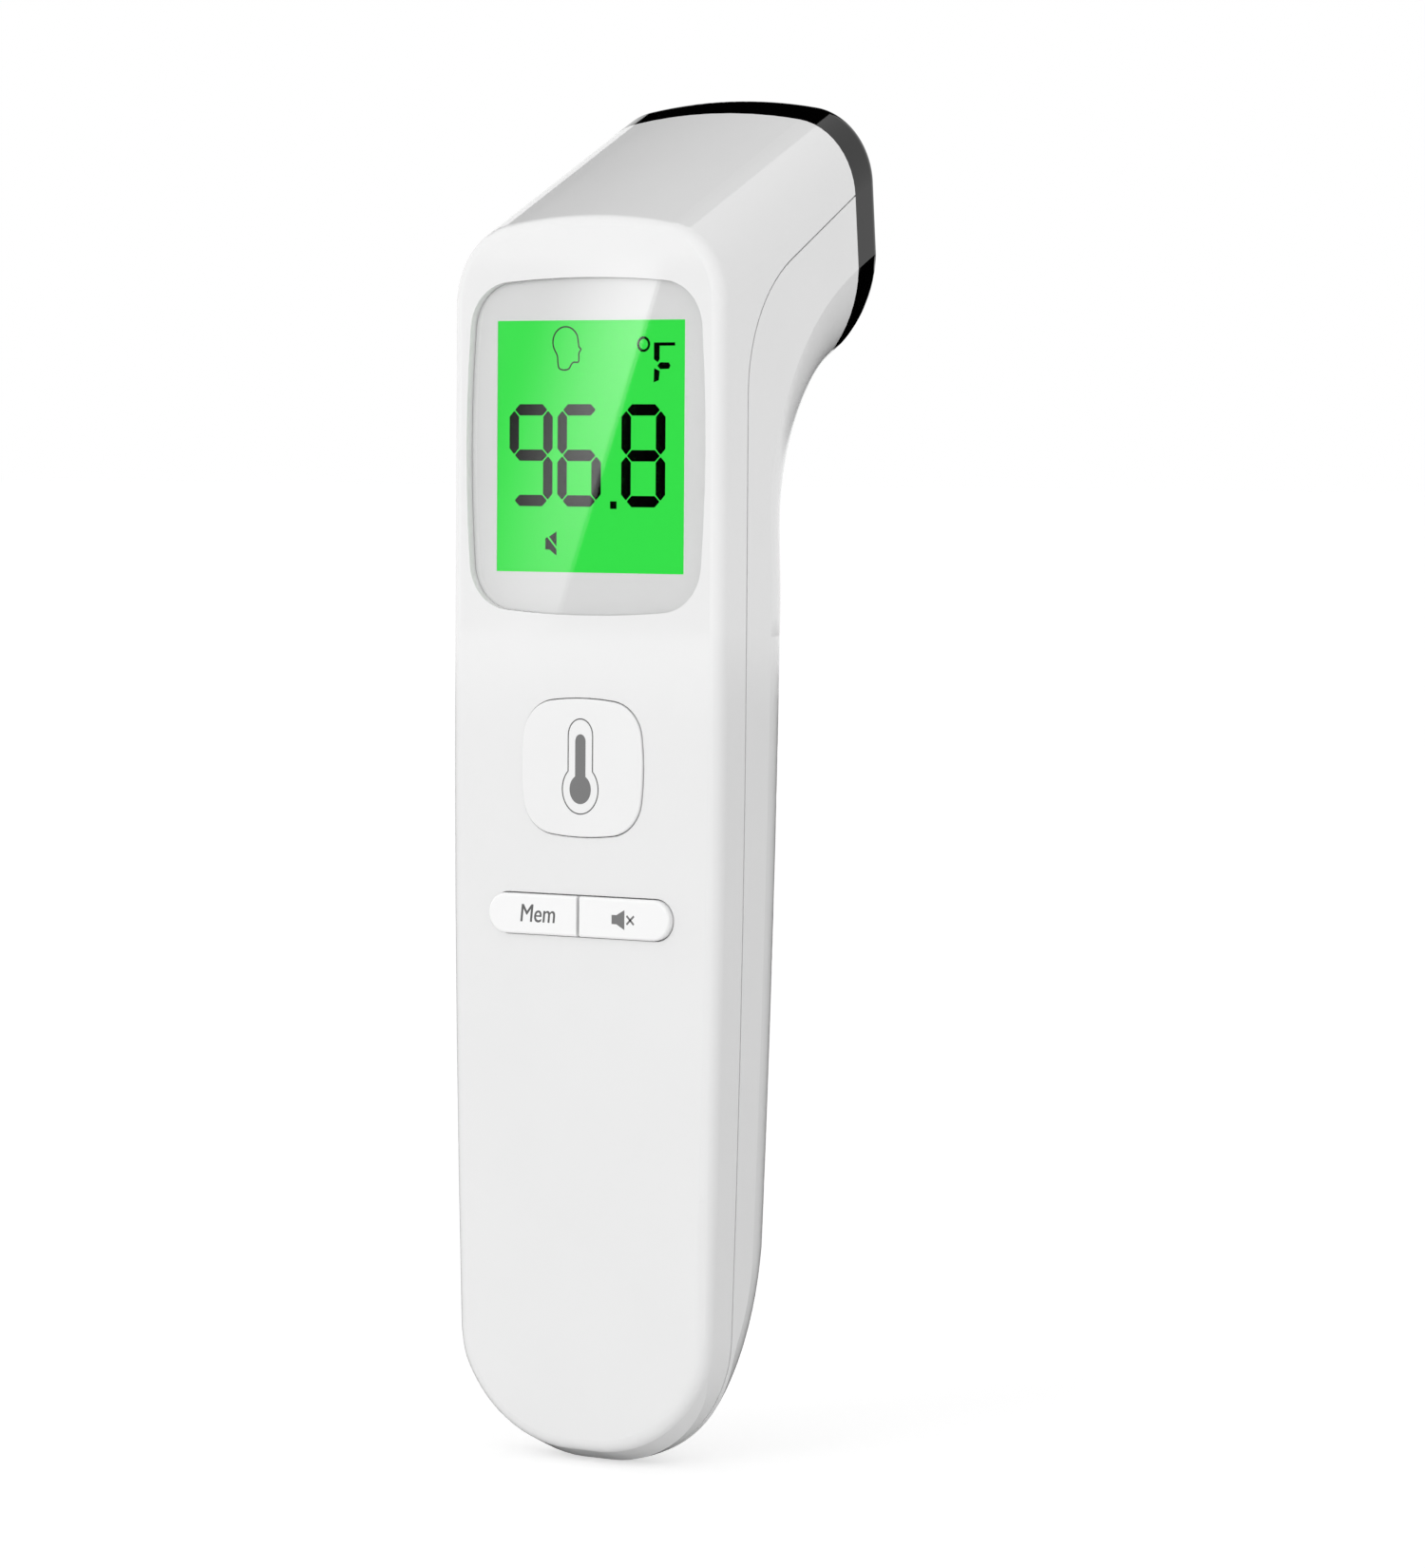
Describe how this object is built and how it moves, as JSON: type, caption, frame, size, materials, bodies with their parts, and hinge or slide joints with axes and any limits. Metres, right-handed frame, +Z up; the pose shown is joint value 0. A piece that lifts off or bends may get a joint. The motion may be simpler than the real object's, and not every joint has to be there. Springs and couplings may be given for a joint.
{
  "type": "digital thermometer",
  "caption": "Hand-held contactless thermometer: pistol-shaped housing, black sensor nose, lit display behind a clear window, soft-square measuring key, pill-shaped keys, sliding battery door.",
  "frame": {"origin": "middle of the overall width and depth, level with the foot of the handle", "axes": "+Z up along the handle, the display faces -Y, the sensor nose points to +Y, +X to the right of someone reading the display"},
  "size_m": [0.0392, 0.0379, 0.1658],
  "materials": {
    "housing_plastic": "satin white moulding",
    "cap_plastic": "polished black",
    "cone_plastic": "dull black",
    "plated_steel": "nickel plated",
    "screw_steel": "zinc plated",
    "filter_window": "dark infrared window",
    "soft_black": "dull black",
    "strip_rubber": "dull pink grey",
    "board_laminate": "green solder mask",
    "flex_film": "amber film",
    "clear_window": "clear, glossy",
    "mask_print": "printed pale grey",
    "lcd_cell": "backlit green",
    "frame_plastic": "white",
    "guide_plastic": "milky clear",
    "led_body": "cream",
    "chip_resin": "black resin",
    "capacitor_can": "bare",
    "key_plastic": "satin white",
    "cell_jacket": "printed jacket, plain"
  },
  "bodies": {
    "housing": {"front_shell": "housing_plastic", "rear_shell": "housing_plastic", "nose_cap": "cap_plastic", "sensor_cone": "cone_plastic", "sensor_can": "plated_steel", "sensor_filter": "filter_window", "sensor_leads": "plated_steel", "sensor_holder": "soft_black", "sensor_board": "board_laminate", "sensor_flex": "flex_film", "display_window": "clear_window", "display_mask": "mask_print", "lcd_glass": "lcd_cell", "lcd_frame": "frame_plastic", "light_guide": "guide_plastic", "backlight_leds": "led_body", "zebra_strip": "strip_rubber", "main_board": "board_laminate", "controller_chip": "chip_resin", "crystal": "plated_steel", "capacitors": "capacitor_can", "buzzer": "chip_resin", "measure_switch": "plated_steel", "mem_switch": "plated_steel", "mute_switch": "plated_steel", "battery_left": "cell_jacket", "battery_right": "cell_jacket", "contact_bridge": "plated_steel", "contact_positive": "plated_steel", "contact_negative": "plated_steel", "contact_springs": "plated_steel", "housing_screws": "screw_steel", "board_screws": "screw_steel"},
    "measure_key": {"measure_button": "key_plastic", "measure_plunger": "chip_resin"},
    "mem_key": {"mem_button": "key_plastic", "mem_plunger": "chip_resin"},
    "mute_key": {"mute_button": "key_plastic", "mute_plunger": "chip_resin"},
    "door": {"battery_door": "housing_plastic"}
  },
  "joints": [
    {"name": "measure_press", "type": "slide", "parent": "housing", "child": "measure_key", "axis": [0, 1, 0], "range_m": [0, 0.0004], "stiffness_N_per_m": 2500, "springref_m": -0.0002},
    {"name": "mem_press", "type": "slide", "parent": "housing", "child": "mem_key", "axis": [0, 1, 0], "range_m": [0, 0.0004], "stiffness_N_per_m": 2500, "springref_m": -0.0002},
    {"name": "mute_press", "type": "slide", "parent": "housing", "child": "mute_key", "axis": [0, 1, 0], "range_m": [0, 0.0004], "stiffness_N_per_m": 2500, "springref_m": -0.0002},
    {"name": "door_slide", "type": "slide", "parent": "housing", "child": "door", "axis": [0, 0, -1], "range_m": [0, 0.008]}
  ]
}
